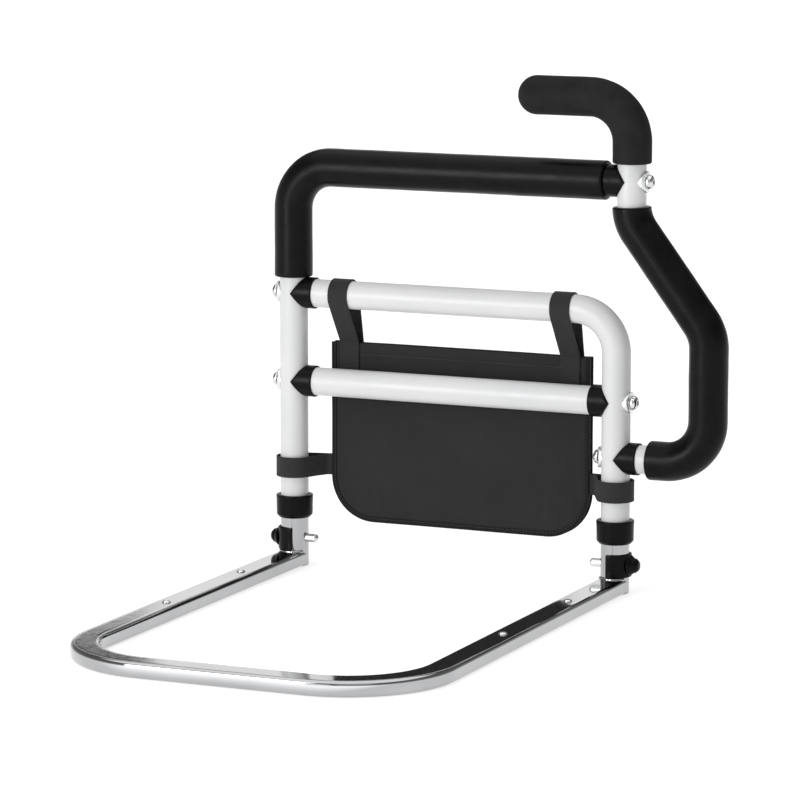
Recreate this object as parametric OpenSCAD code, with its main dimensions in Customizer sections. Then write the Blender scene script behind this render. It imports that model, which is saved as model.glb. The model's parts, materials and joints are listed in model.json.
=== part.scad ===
// Bed assist rail: chrome U base, lift-out upper frame with foam grips, cane handle and fabric pocket.
// Millimetres. X runs along the crossbars, Z is up, the base reaches towards -Y from the legs.

/* [Frame tubes] */
// Outside diameter of the frame tubes
tube_d = 25.4; // [22:0.1:28]
// Wall of the white frame tubes
tube_wall = 1.5; // [1.2:0.1:2]
// Distance between the two leg axes
leg_spacing = 312; // [280:1:360]
// Centreline radius of every frame bend
bend_r = 38.1; // [34:0.1:44]
// Height of the upper crossbar axis
upper_bar_z = 250.3; // [220:0.1:280]
// Height of the lower crossbar axis
lower_bar_z = 170; // [150:0.5:190]
// Height of the top rail axis
top_rail_z = 364.4; // [330:0.1:400]

/* [Cane handle] */
// Height of the top arm of the cane handle
cane_z = 436.5; // [410:0.5:460]
// Offset of the upper vertical part from the right leg axis
cane_x = 13; // [10:0.5:20]
// Reach of the closed grip end to the left of the right leg axis
cane_reach = 92.8; // [80:0.1:110]
// Offset of the outer vertical part from the right leg axis
side_x = 85.4; // [70:0.1:100]
// Height where the slanted part would meet the upper vertical axis
slant_top_z = 331; // [320:0.5:340]
// Height of the lower arm of the side handle
side_bar_z = 120.5; // [105:0.5:140]

/* [Foam grips] */
// Outside diameter of the foam grips
grip_d = 34.4; // [31:0.1:38]
// Lower end of the top rail grip on the left leg
top_grip_low_z = 264.8; // [255:0.1:290]
// Lower end of the cane grip
cane_grip_low_z = 380.1; // [376:0.1:390]
// Upper end of the side grip
side_grip_top_z = 342.5; // [338:0.1:348]
// Bare tube between the side grip and the saddle
side_grip_gap = 9.5; // [4:0.5:20]

/* [Saddles and bolts] */
// Outside diameter of the saddles
saddle_d = 28.4; // [27:0.1:32]
// Reach of a saddle from the axis of the upright
saddle_len = 22.5; // [18:0.5:28]
// Web of plastic between upright and tube end
saddle_web = 2; // [1.5:0.1:4]
// Distance from the upright axis to the tip of a saddle ear
saddle_tip = 2.5; // [1:0.5:6]
// Shank diameter of the joint bolts
bolt_d = 6; // [5:0.5:8]
// Head diameter of the joint bolts
bolt_head_d = 13; // [10:0.5:16]
// Head height of the joint bolts
bolt_head_h = 5; // [4:0.5:7]
// Diameter of the curved washers
washer_d = 19; // [16:0.5:24]
// Thickness of a curved washer at its middle
washer_t = 2.6; // [1.5:0.1:4]
// Length of the threaded inserts
insert_len = 20; // [14:1:30]

/* [Base] */
// Width of the flat base tube
base_w = 25.4; // [22:0.1:30]
// Height of the flat base tube
base_h = 13.5; // [12:0.5:18]
// Wall of the base tube
base_wall = 1.6; // [1.2:0.1:2]
// Edge radius of the base tube section
base_edge_r = 3.2; // [2.5:0.1:4]
// Reach of the base in front of the leg axes
base_depth = 476; // [430:1:520]
// Centreline radius of the two base corners
base_bend_r = 82; // [60:1:100]
// Radius of the holes through the base rails
rail_hole_r = 3.5; // [2.5:0.5:5]
// Distance of the rear rail holes in front of the leg axes
rear_hole_y = 111.5; // [90:0.5:140]
// Distance of the front rail holes in front of the leg axes
front_hole_y = 256; // [220:1:300]

/* [Sockets and locks] */
// Height of the chrome sockets
socket_h = 44.5; // [40:0.5:60]
// Outside diameter of the inner legs
inner_leg_d = 22.4; // [20:0.1:24]
// Radial clearance of an inner leg in its socket
leg_clearance = 0.1; // [0.05:0.05:0.3]
// Height of the lower end of the inner legs
inner_leg_low_z = 14; // [8:0.5:18]
// Height of the upper end of the inner legs
inner_leg_high_z = 100; // [90:1:105]
// Wall of the inner legs
inner_leg_wall = 2; // [1.5:0.1:3]
// Outside diameter of the collars
collar_d = 33.5; // [30:0.5:36]
// Height of the collars
collar_h = 20.7; // [16:0.1:26]
// Height of the lock pins above the floor
pin_z = 25.4; // [22:0.1:30]
// Diameter of the lock pins
pin_d = 7.8; // [6:0.1:9]
// Reach of a pin tip beyond the socket axis
pin_reach = 23.6; // [18:0.1:30]
// Outer radius of the C clips
clip_r = 14.9; // [14:0.1:17]
// Height of the C clips
clip_h = 20.5; // [16:0.5:26]
// Angle that a C clip wraps to each side of its knob
clip_wrap = 105; // [90:1:120]
// Diameter of the clip knobs
knob_d = 13; // [10:0.5:16]
// Reach of a knob from the socket axis
knob_reach = 23.4; // [20:0.1:28]

/* [Pocket] */
// Width of the pocket
pocket_w = 249; // [220:1:270]
// Height of the top edge of the pocket
pocket_top_z = 205; // [195:1:215]
// Height of the lower edge of the pocket
pocket_low_z = 42.5; // [40:0.5:60]
// Radius of the two lower corners
pocket_r = 40; // [20:1:60]
// Distance of the front panel behind the leg axes
pocket_y = 14.8; // [14.6:0.1:20]
// Depth of the pocket over both panels
pocket_depth = 8.6; // [7:0.1:30]
// Thickness of the fabric panels
panel_t = 1.2; // [0.8:0.1:2]
// Width of the edge binding
binding_w = 4; // [3:0.5:10]
// Thickness of the edge binding on a panel
binding_t = 0.8; // [0.5:0.1:1.2]
// Width of the strap webbing
strap_w = 18.5; // [15:0.5:25]
// Thickness of the strap webbing
strap_t = 1.6; // [1:0.1:2.5]
// Distance of the hanging straps from the middle
hang_x = 107; // [80:1:115]
// Lower end of the hanging straps on the panels
hang_low_z = 160; // [150:1:180]
// Height of the middle of the side straps
side_strap_z = 91.6; // [80:0.1:100]
// Inner radius of the side strap loops
side_loop_r = 15; // [13:0.1:18]

/* [Hidden] */
$fn = 96;
big = 1000;
tube_r = tube_d / 2;
bore_r = tube_r - tube_wall;
grip_r = grip_d / 2;
leg_x = leg_spacing / 2;
cane_leg_x = leg_x + cane_x;
side_leg_x = leg_x + side_x;
cane_end_x = leg_x - cane_reach;
collar_z = socket_h;
collar_lip = 1.5;
leg_low_z = collar_z + collar_lip;
inner_leg_r = inner_leg_d / 2;
tube_gap = tube_r + saddle_web;
pin_hole_r = pin_d / 2 + 0.1;
clip_gap = 0.5;
strap_gap = 0.15;
knob_cap = 3;
// The slanted part runs 3 sideways for 4 down.
slant_a = atan2(3, 4);
slant_len = (side_x - cane_x) * 5 / 3;
slant_drop = (side_x - cane_x) * 4 / 3;
slant_t = bend_r / 3;
slant_start_z = slant_top_z + slant_t;
white = [0.92, 0.92, 0.92];
foam = [0.12, 0.12, 0.12];
black = [0.08, 0.08, 0.08];
chrome = [0.75, 0.76, 0.78];
steel = [0.62, 0.63, 0.65];
cloth = [0.2, 0.2, 0.21];
webbing = [0.24, 0.24, 0.25];
bound = [0.14, 0.14, 0.15];

// Bounding box of the whole object at rest, used to put the origin under its middle.
x_low = -leg_x - knob_reach;
x_high = side_leg_x + grip_r;
y_low = -base_depth;
back_y = pocket_y + pocket_depth;
y_high = back_y + strap_t;
x_mid = (x_low + x_high) / 2;
y_mid = (y_low + y_high) / 2;

module placed() {
    translate([-x_mid, -y_mid, 0]) children();
}

// Cylinder along X from x0 to x1 at height z.
module bar_x(x0, x1, z, r) {
    translate([x0, 0, z]) rotate([0, 90, 0]) cylinder(h = x1 - x0, r = r);
}

// Cylinder along Z from z0 to z1 at position x.
module bar_z(x, z0, z1, r) {
    translate([x, 0, z0]) cylinder(h = z1 - z0, r = r);
}

// Round bend in the XZ plane: centre [x, z], from angle a0 counted from +X, turning by da towards +Z.
module bend_xz(x, z, a0, da, r) {
    translate([x, 0, z]) rotate([90, 0, 0]) rotate([0, 0, a0])
        rotate_extrude(angle = da) translate([bend_r, 0]) circle(r = r);
}

// Hole along X through an upright at height z.
module cross_hole(x, z, r) {
    bar_x(x - 2 * tube_r, x + 2 * tube_r, z, r);
}

// ---- Base ----

module base_section(inset) {
    w = base_w - 2 * inset;
    h = base_h - 2 * inset;
    r = base_edge_r - inset;
    square([w - 2 * r, h], center = true);
    square([w, h - 2 * r], center = true);
    for (sx = [-1, 1], sy = [-1, 1]) translate([sx * (w / 2 - r), sy * (h / 2 - r)]) circle(r = r);
}

module base_path(inset) {
    front_y = -base_depth + base_w / 2;
    corner_x = leg_x - base_bend_r;
    corner_y = front_y + base_bend_r;
    for (s = [-1, 1]) {
        translate([s * leg_x, corner_y, base_h / 2]) rotate([-90, 0, 0])
            linear_extrude(height = -corner_y) base_section(inset);
        translate([s * corner_x, corner_y, base_h / 2]) rotate([0, 0, s > 0 ? 270 : 180])
            rotate_extrude(angle = 90) translate([base_bend_r, 0]) base_section(inset);
    }
    translate([-corner_x, front_y, base_h / 2]) rotate([90, 0, 90])
        linear_extrude(height = 2 * corner_x) base_section(inset);
}

module base_tube() {
    color(chrome) placed() difference() {
        base_path(0);
        base_path(base_wall);
        for (s = [-1, 1]) {
            translate([s * leg_x, 0, -1]) cylinder(h = base_h + 2, r = tube_r);
            for (y = [rear_hole_y, front_hole_y])
                translate([s * leg_x, -y, -1]) cylinder(h = base_h + 2, r = rail_hole_r);
        }
    }
}

module socket(s) {
    color(chrome) placed() difference() {
        bar_z(s * leg_x, 0, socket_h, tube_r);
        bar_z(s * leg_x, -1, socket_h + 1, inner_leg_r + leg_clearance);
        cross_hole(s * leg_x, pin_z, pin_hole_r);
    }
}

module left_socket() {
    socket(-1);
}

module right_socket() {
    socket(1);
}

// ---- Locks ----

module lock_clip(s) {
    inner = tube_r + clip_gap;
    color(black) placed() difference() {
        union() {
            translate([s * leg_x, 0, pin_z - clip_h / 2])
                rotate([0, 0, s > 0 ? -clip_wrap : 180 - clip_wrap])
                rotate_extrude(angle = 2 * clip_wrap) clip_section(inner);
            translate([s * leg_x, 0, pin_z]) rotate([0, s * 90, 0]) knob();
        }
        bar_z(s * leg_x, 0, socket_h, inner);
        translate([s * leg_x, 0, pin_z]) rotate([0, s * 90, 0])
            cylinder(h = knob_reach - knob_cap, r = pin_d / 2);
    }
}

module clip_section(inner) {
    b = 0.7;
    translate([inner, b]) square([clip_r - inner, clip_h - 2 * b]);
    translate([inner, 0]) square([clip_r - inner - b, clip_h]);
    for (z = [b, clip_h - b]) translate([clip_r - b, z]) circle(r = b);
}

module knob() {
    edge = 2.5;
    rotate_extrude() rounded_end(knob_d / 2, knob_reach, edge);
}

// Half section of a shaft from 0 to h with its far end rounded.
module rounded_end(r, h, edge) {
    square([r, h - edge]);
    square([r - edge, h]);
    translate([r - edge, h - edge]) circle(r = edge);
}

module left_lock_clip() {
    lock_clip(-1);
}

module right_lock_clip() {
    lock_clip(1);
}

module lock_pin(s) {
    color(steel) placed() translate([s * (leg_x + knob_reach - knob_cap), 0, pin_z]) rotate([0, -s * 90, 0])
        rotate_extrude() rounded_end(pin_d / 2, knob_reach - knob_cap + pin_reach, 1.9);
}

module left_lock_pin() {
    lock_pin(-1);
}

module right_lock_pin() {
    lock_pin(1);
}

// ---- Legs and frame tubes ----

module inner_leg(s) {
    color(steel) placed() difference() {
        bar_z(s * leg_x, inner_leg_low_z, inner_leg_high_z, inner_leg_r);
        bar_z(s * leg_x, 0, big, inner_leg_r - inner_leg_wall);
        cross_hole(s * leg_x, pin_z, pin_hole_r);
    }
}

module left_inner_leg() {
    inner_leg(-1);
}

module right_inner_leg() {
    inner_leg(1);
}

module collar(s) {
    edge = 1.2;
    low = 2.8;
    r = collar_d / 2;
    color(black) placed() translate([s * leg_x, 0, collar_z]) rotate_extrude() difference() {
        union() {
            polygon([
                [inner_leg_r, 0], [r - low, 0], [r, low],
                [r, collar_h - edge], [inner_leg_r, collar_h - edge],
            ]);
            square([r - edge, collar_h]);
            translate([r - edge, collar_h - edge]) circle(r = edge);
        }
        translate([0, -1]) square([inner_leg_r, big]);
        translate([0, collar_lip]) square([tube_r, big]);
    }
}

module left_collar() {
    collar(-1);
}

module right_collar() {
    collar(1);
}

// Left leg, bend and top rail.
module left_path(r, over) {
    bar_z(-leg_x, leg_low_z - over, top_rail_z - bend_r, r);
    bend_xz(-leg_x + bend_r, top_rail_z - bend_r, 90, 90, r);
    bar_x(-leg_x + bend_r, cane_leg_x - tube_gap + over, top_rail_z, r);
}

module left_upright_tube() {
    color(white) placed() difference() {
        left_path(tube_r, 0);
        left_path(bore_r, 1);
        for (z = [upper_bar_z, lower_bar_z]) cross_hole(-leg_x, z, bolt_d / 2 + 0.2);
    }
}

// Upper crossbar, bend and right leg.
module right_path(r, over) {
    bar_x(-leg_x + tube_gap - over, leg_x - bend_r, upper_bar_z, r);
    bend_xz(leg_x - bend_r, upper_bar_z - bend_r, 0, 90, r);
    bar_z(leg_x, leg_low_z - over, upper_bar_z - bend_r, r);
}

module right_upright_tube() {
    color(white) placed() difference() {
        right_path(tube_r, 0);
        right_path(bore_r, 1);
        for (z = [lower_bar_z, side_bar_z]) cross_hole(leg_x, z, bolt_d / 2 + 0.2);
    }
}

module lower_crossbar() {
    color(white) placed() difference() {
        bar_x(-leg_x + tube_gap, leg_x - tube_gap, lower_bar_z, tube_r);
        bar_x(-leg_x, leg_x, lower_bar_z, bore_r);
    }
}

// Tube that runs from the origin along +Z through steps of [straight length, turn towards +X].
module tube_run(steps, r, i = 0) {
    side = sign(steps[i][1]);
    cylinder(h = steps[i][0], r = r);
    if (side != 0) translate([side * bend_r, 0, steps[i][0]]) {
        difference() {
            rotate([90, 0, 0]) rotate([0, 0, side > 0 ? 180 : 0])
                rotate_extrude(angle = -side * 90) translate([bend_r, 0]) circle(r = r);
            rotate([0, steps[i][1], 0]) translate([-big / 2, -big / 2, 0]) cube(big);
        }
        if (i + 1 < len(steps)) rotate([0, steps[i][1], 0]) translate([-side * bend_r, 0, 0])
            tube_run(steps, r, i + 1);
    }
}

module cane_top(r, x0, z1) {
    bar_x(x0, cane_leg_x - bend_r, cane_z, r);
    bend_xz(cane_leg_x - bend_r, cane_z - bend_r, 0, 90, r);
    bar_z(cane_leg_x, z1, cane_z - bend_r, r);
}

// Side handle from height z0 down, out, down and back to x1.
module cane_side(r, z0, x1) {
    low_z = slant_top_z - slant_drop - slant_t;
    translate([cane_leg_x, 0, z0]) rotate([0, 180, 0]) tube_run([
        [z0 - slant_start_z, -slant_a],
        [slant_len - 2 * slant_t, slant_a],
        [low_z - side_bar_z - bend_r, 90],
        [side_leg_x - bend_r - x1, 0],
    ], r);
}

module cane_path(r, over) {
    cane_top(r, cane_end_x + grip_r - over, top_rail_z);
    cane_side(r, top_rail_z, leg_x + tube_gap - over);
}

module cane_handle_tube() {
    color(white) placed() difference() {
        cane_path(tube_r, 0);
        cane_path(bore_r, 1);
        cross_hole(cane_leg_x, top_rail_z, bolt_d / 2 + 0.2);
    }
}

module cane_tube_plug() {
    x0 = cane_end_x + grip_r;
    color(black) placed() {
        bar_x(x0 - 2, x0, cane_z, tube_r);
        bar_x(x0, x0 + 14, cane_z, bore_r);
    }
}

// ---- Foam grips ----

module top_rail_grip() {
    x1 = cane_leg_x - saddle_len;
    color(foam) placed() difference() {
        union() {
            bar_z(-leg_x, top_grip_low_z, top_rail_z - bend_r, grip_r);
            bend_xz(-leg_x + bend_r, top_rail_z - bend_r, 90, 90, grip_r);
            bar_x(-leg_x + bend_r, x1, top_rail_z, grip_r);
        }
        left_path(tube_r, 1);
    }
}

module cane_grip() {
    color(foam) placed() difference() {
        union() {
            cane_top(grip_r, cane_end_x + grip_r, cane_grip_low_z);
            translate([cane_end_x + grip_r, 0, cane_z]) sphere(r = grip_r);
        }
        cane_path(tube_r, 2);
    }
}

module side_grip() {
    x1 = leg_x + saddle_len + side_grip_gap;
    color(foam) placed() difference() {
        cane_side(grip_r, side_grip_top_z + 2, x1);
        cane_path(tube_r, 1);
        translate([cane_leg_x - big / 2, -big / 2, side_grip_top_z]) cube([big, big, big]);
    }
}

// ---- Saddles and bolts ----

// Saddle on an upright along Z at the origin, holding a tube that leaves along +X.
module saddle() {
    edge = 1;
    r = saddle_d / 2;
    ear = tube_r + 0.8;
    difference() {
        rotate([0, 90, 0]) rotate_extrude() rounded_end(r, saddle_len, edge);
        translate([0, 0, -big / 2]) cylinder(h = big, r = tube_r);
        bar_x(tube_gap, big, 0, tube_r);
        bar_x(-1, big, 0, bolt_d / 2 + 0.2);
        rotate([90, 0, 0]) translate([0, 0, -big / 2]) linear_extrude(height = big) polygon([
            [-1, -r - 1], [ear, -r - 1], [ear, -r], [saddle_tip, 0], [ear, r], [ear, r + 1], [-1, r + 1],
        ]);
    }
}

module bolt() {
    edge = 2.4;
    seat = tube_r + washer_t;
    shank = tube_gap + insert_len - 2;
    rotate([0, -90, 0]) rotate_extrude() {
        translate([0, -shank]) square([bolt_d / 2, shank + seat + 1]);
        translate([0, seat]) rounded_end(bolt_head_d / 2, bolt_head_h, edge);
    }
}

// Round washer curved to the upright, with a flat seat for the bolt head.
module washer() {
    difference() {
        intersection() {
            bar_x(-tube_r - washer_t, 0, 0, washer_d / 2);
            translate([0, 0, -big / 2]) cylinder(h = big, r = tube_r + washer_t + 0.5);
        }
        translate([0, 0, -big / 2]) cylinder(h = big, r = tube_r);
        bar_x(-big / 2, 0, 0, bolt_d / 2 + 0.2);
    }
}

module insert() {
    difference() {
        bar_x(tube_gap, tube_gap + insert_len, 0, bore_r);
        bar_x(0, big, 0, bolt_d / 2);
    }
}

// Place a joint piece on the upright at x and height z; side 1 sends the tube to +X, -1 to -X.
module at_joint(x, z, side) {
    translate([x, 0, z]) rotate([0, 0, side > 0 ? 0 : 180]) children();
}

module at_upper_left() {
    at_joint(-leg_x, upper_bar_z, 1) children();
}

module at_lower_left() {
    at_joint(-leg_x, lower_bar_z, 1) children();
}

module at_lower_right() {
    at_joint(leg_x, lower_bar_z, -1) children();
}

module at_side_handle() {
    at_joint(leg_x, side_bar_z, 1) children();
}

module at_top_rail() {
    at_joint(cane_leg_x, top_rail_z, -1) children();
}

module upper_left_saddle() {
    color(black) placed() at_upper_left() saddle();
}

module lower_left_saddle() {
    color(black) placed() at_lower_left() saddle();
}

module lower_right_saddle() {
    color(black) placed() at_lower_right() saddle();
}

module side_handle_saddle() {
    color(black) placed() at_side_handle() saddle();
}

module top_rail_saddle() {
    color(black) placed() at_top_rail() saddle();
}

module upper_left_bolt() {
    color(chrome) placed() at_upper_left() bolt();
}

module lower_left_bolt() {
    color(chrome) placed() at_lower_left() bolt();
}

module lower_right_bolt() {
    color(chrome) placed() at_lower_right() bolt();
}

module side_handle_bolt() {
    color(chrome) placed() at_side_handle() bolt();
}

module top_rail_bolt() {
    color(chrome) placed() at_top_rail() bolt();
}

module upper_left_washer() {
    color(chrome) placed() at_upper_left() washer();
}

module lower_left_washer() {
    color(chrome) placed() at_lower_left() washer();
}

module lower_right_washer() {
    color(chrome) placed() at_lower_right() washer();
}

module side_handle_washer() {
    color(chrome) placed() at_side_handle() washer();
}

module top_rail_washer() {
    color(chrome) placed() at_top_rail() washer();
}

module upper_left_insert() {
    color(steel) placed() at_upper_left() insert();
}

module lower_left_insert() {
    color(steel) placed() at_lower_left() insert();
}

module lower_right_insert() {
    color(steel) placed() at_lower_right() insert();
}

module side_handle_insert() {
    color(steel) placed() at_side_handle() insert();
}

module top_rail_insert() {
    color(steel) placed() at_top_rail() insert();
}

// ---- Pocket ----

// Pocket outline in the XZ plane, inset from its edge and carried past its top.
module pocket_outline(inset, over) {
    w = pocket_w - 2 * inset;
    r = pocket_r - inset;
    z0 = pocket_low_z + inset;
    translate([-w / 2, z0 + r]) square([w, pocket_top_z + over - z0 - r]);
    translate([-w / 2 + r, z0]) square([w - 2 * r, r + 1]);
    for (s = [-1, 1]) translate([s * (w / 2 - r), z0 + r]) circle(r = r);
}

// Upright slab from y to y + t with a 2D shape in the XZ plane.
module slab(y, t) {
    translate([0, y + t, 0]) rotate([90, 0, 0]) linear_extrude(height = t) children();
}

module pocket_front_panel() {
    color(cloth) placed() slab(pocket_y, panel_t) pocket_outline(0, 0);
}

module pocket_back_panel() {
    color(cloth) placed() slab(back_y - panel_t, panel_t) pocket_outline(0, 0);
}

// Band between the panels down both sides and along the bottom, open at the top.
module pocket_gusset() {
    color(cloth) placed() slab(pocket_y + panel_t, pocket_depth - 2 * panel_t) difference() {
        pocket_outline(0, 0);
        pocket_outline(panel_t, 1);
    }
}

// Edge tape round the sides and bottom of the front and the back panel.
module pocket_binding() {
    color(bound) placed() for (y = [pocket_y - binding_t, back_y]) slab(y, binding_t) difference() {
        pocket_outline(0, 0);
        pocket_outline(binding_w, 1);
    }
}

function left_of(v) = [-v[1], v[0]] / norm(v);

// Mitred side step at point i of a path, one unit wide.
function mitre(path, i) = let(
    a = left_of(path[max(i, 1)] - path[max(i, 1) - 1]),
    b = left_of(path[min(i + 1, len(path) - 1)] - path[min(i, len(path) - 2)])
) (a + b) / (1 + a * b);

// Flat band of webbing that follows a path in the XY plane.
module webbing_band(path) {
    last = len(path) - 1;
    linear_extrude(height = strap_w) polygon(concat(
        [for (i = [0 : last]) path[i] + mitre(path, i) * strap_t / 2],
        [for (i = [last : -1 : 0]) path[i] - mitre(path, i) * strap_t / 2]
    ));
}

// Path round a bar at the origin: from p0 by p, round at radius r, and by q to q0.
function loop_path(r, p0, p, q, q0) = let(
    a_p = atan2(p[1], p[0]) - acos(r / norm(p)) + 360,
    a_q = atan2(q[1], q[0]) + acos(r / norm(q)),
    steps = 32
) concat(
    [p0, p],
    [for (i = [0 : steps]) let(a = a_p + (a_q - a_p) * i / steps) r * [cos(a), sin(a)]],
    [q, q0]
);

// Loop over the upper crossbar, sewn down on the front face and on the back face of the pocket.
module hanging_strap(x) {
    drop = pocket_top_z - upper_bar_z;
    low = hang_low_z - upper_bar_z;
    front_y = pocket_y - strap_t / 2;
    rear_y = back_y + strap_t / 2;
    color(webbing) placed() translate([x - strap_w / 2, 0, upper_bar_z]) rotate([90, 0, 90])
        webbing_band(loop_path(tube_r + strap_gap + strap_t / 2,
            [front_y, low], [front_y, drop], [rear_y, drop], [rear_y, low]));
}

module left_hanging_strap() {
    hanging_strap(-hang_x);
}

module right_hanging_strap() {
    hanging_strap(hang_x);
}

// Loop round a leg, its two layers led together to the side of the pocket.
module side_strap() {
    end_x = pocket_w / 2 - leg_x;
    tail_x = end_x + 6;
    tail_y = pocket_y + pocket_depth / 2;
    step = strap_t / 2 + strap_gap / 2;
    translate([leg_x, 0, side_strap_z - strap_w / 2])
        webbing_band(loop_path(side_loop_r + strap_t / 2,
            [end_x, tail_y + step], [tail_x, tail_y + step],
            [tail_x, tail_y - step], [end_x, tail_y - step]));
}

module left_side_strap() {
    color(webbing) placed() mirror([1, 0, 0]) side_strap();
}

module right_side_strap() {
    color(webbing) placed() side_strap();
}

// ---- Drawing ----

base_tube();
left_socket();
right_socket();
left_inner_leg();
right_inner_leg();
left_collar();
right_collar();
left_lock_clip();
right_lock_clip();
left_lock_pin();
right_lock_pin();
left_upright_tube();
right_upright_tube();
lower_crossbar();
cane_handle_tube();
cane_tube_plug();
top_rail_grip();
cane_grip();
side_grip();
upper_left_saddle();
lower_left_saddle();
lower_right_saddle();
side_handle_saddle();
top_rail_saddle();
upper_left_bolt();
lower_left_bolt();
lower_right_bolt();
side_handle_bolt();
top_rail_bolt();
upper_left_washer();
lower_left_washer();
lower_right_washer();
side_handle_washer();
top_rail_washer();
upper_left_insert();
lower_left_insert();
lower_right_insert();
side_handle_insert();
top_rail_insert();
pocket_front_panel();
pocket_back_panel();
pocket_gusset();
pocket_binding();
left_hanging_strap();
right_hanging_strap();
left_side_strap();
right_side_strap();
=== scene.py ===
"""Looks of the bed assist rail: chrome base, lift-out white frame, foam grips, cane handle and pocket."""

import json
import math

import bmesh
import bpy
from mathutils import Matrix, Vector, noise


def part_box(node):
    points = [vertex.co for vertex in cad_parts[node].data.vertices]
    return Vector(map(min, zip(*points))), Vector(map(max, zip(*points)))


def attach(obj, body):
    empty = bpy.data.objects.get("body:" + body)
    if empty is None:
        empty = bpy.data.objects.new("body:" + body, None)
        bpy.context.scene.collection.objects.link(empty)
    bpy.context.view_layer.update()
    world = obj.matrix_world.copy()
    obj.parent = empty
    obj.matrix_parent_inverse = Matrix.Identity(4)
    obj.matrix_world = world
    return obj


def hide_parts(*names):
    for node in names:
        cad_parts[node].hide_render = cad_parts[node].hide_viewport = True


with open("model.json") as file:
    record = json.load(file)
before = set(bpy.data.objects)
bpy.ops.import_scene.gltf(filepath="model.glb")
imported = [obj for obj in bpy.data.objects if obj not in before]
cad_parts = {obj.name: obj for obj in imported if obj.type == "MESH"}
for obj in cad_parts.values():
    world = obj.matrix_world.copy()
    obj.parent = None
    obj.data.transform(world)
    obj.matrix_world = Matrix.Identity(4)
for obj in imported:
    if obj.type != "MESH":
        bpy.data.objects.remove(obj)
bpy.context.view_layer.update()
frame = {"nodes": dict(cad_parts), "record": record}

MM = 0.001
TAU = 2 * math.pi
X, Y, Z = Vector((1, 0, 0)), Vector((0, 1, 0)), Vector((0, 0, 1))
SIDES = {"left": -1, "right": 1}

# ---- Places, in millimetres from the floor point between the legs ----


def middle(node):
    low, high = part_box(node)
    return (low + high) / 2


LEFT_LEG, RIGHT_LEG = middle("left_inner_leg"), middle("right_inner_leg")
ORIGIN = Vector(((LEFT_LEG.x + RIGHT_LEG.x) / 2, LEFT_LEG.y, 0))


def span(node):
    """Lowest and highest corner of a CAD node, in millimetres from ORIGIN."""
    low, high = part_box(node)
    return (low - ORIGIN) / MM, (high - ORIGIN) / MM


def height(node):
    low, high = span(node)
    return (low.z + high.z) / 2


LEG_X = (RIGHT_LEG.x - LEFT_LEG.x) / 2 / MM
TUBE_R = (span("lower_crossbar")[1].z - span("lower_crossbar")[0].z) / 2
TUBE_WALL = 1.5
BEND_R = 38.1
UPPER_Z, LOWER_Z = height("upper_left_saddle"), height("lower_left_saddle")
TOP_Z, SIDE_Z = height("top_rail_saddle"), height("side_handle_saddle")
GRIP_R = span("side_grip")[1].y
CANE_Z = span("cane_grip")[1].z - GRIP_R
CANE_X = span("cane_grip")[1].x - GRIP_R
CANE_END_X = span("cane_grip")[0].x
OUTER_X = span("side_grip")[1].x - GRIP_R
LEG_LOW_Z = span("left_upright_tube")[0].z
WEB = span("lower_crossbar")[0].x + LEG_X
SADDLE_R = span("top_rail_saddle")[1].y
SADDLE_END = span("upper_left_saddle")[1].x + LEG_X
SLANT = math.degrees(math.atan2(3, 4))
SLANT_TOP_Z = 331
GRIP_GAP = 9.5

# ---- Camera ----

VIEW_TARGET = Vector((-0.0908, 0.2255, 0.1582))
VIEW_DISTANCE = 3.7319
VIEW_TURN, VIEW_RISE = math.radians(24.04), math.radians(9.094)
LENS = 187.5

camera = bpy.data.objects.new("camera", bpy.data.cameras.new("camera"))
bpy.context.scene.collection.objects.link(camera)
level = Vector((math.sin(VIEW_TURN), -math.cos(VIEW_TURN), 0))
away = level * math.cos(VIEW_RISE) + Z * math.sin(VIEW_RISE)
camera.location = VIEW_TARGET + away * VIEW_DISTANCE
camera.rotation_euler = (-away).to_track_quat("-Z", "Y").to_euler()
camera.data.lens = LENS
camera.data.sensor_width = 36
camera.data.clip_end = 100
bpy.context.scene.camera = camera

# ---- Materials ----


class Nodes:
    """Short calls that add nodes to self.tree and link them."""

    def feed(self, node, socket, value):
        target = node.inputs[socket]
        if isinstance(value, bpy.types.NodeSocket):
            self.tree.links.new(value, target)
        else:
            target.default_value = value

    def node(self, kind, settings=(), **sockets):
        made = self.tree.nodes.new("ShaderNode" + kind)
        for key, value in dict(settings).items():
            setattr(made, key, value)
        for socket, value in sockets.items():
            self.feed(made, socket.replace("_", " "), value)
        return made

    def ramp(self, value, *stops):
        """Value turned into greys: stops are (position, grey)."""
        made = self.node("ValToRGB", Fac=value)
        ramp = made.color_ramp
        while len(ramp.elements) < len(stops):
            ramp.elements.new(0.5)
        for element, (position, grey) in zip(ramp.elements, stops):
            element.position = position
            element.color = (grey, grey, grey, 1)
        return made.outputs[0]

    def range(self, value, low, high, low_in=0.0, high_in=1.0, kind="LINEAR"):
        """Value between low_in and high_in brought to between low and high."""
        ends = {"From_Min": low_in, "From_Max": high_in, "To_Min": low, "To_Max": high}
        return self.node("MapRange", {"interpolation_type": kind}, Value=value, **ends).outputs[0]

    def math(self, operation, a, b=0.0):
        made = self.node("Math", {"operation": operation})
        self.feed(made, 0, a)
        self.feed(made, 1, b)
        return made.outputs[0]

    def times(self, a, b):
        return self.math("MULTIPLY", a, b)

    def plus(self, a, b):
        return self.math("ADD", a, b)


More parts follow.
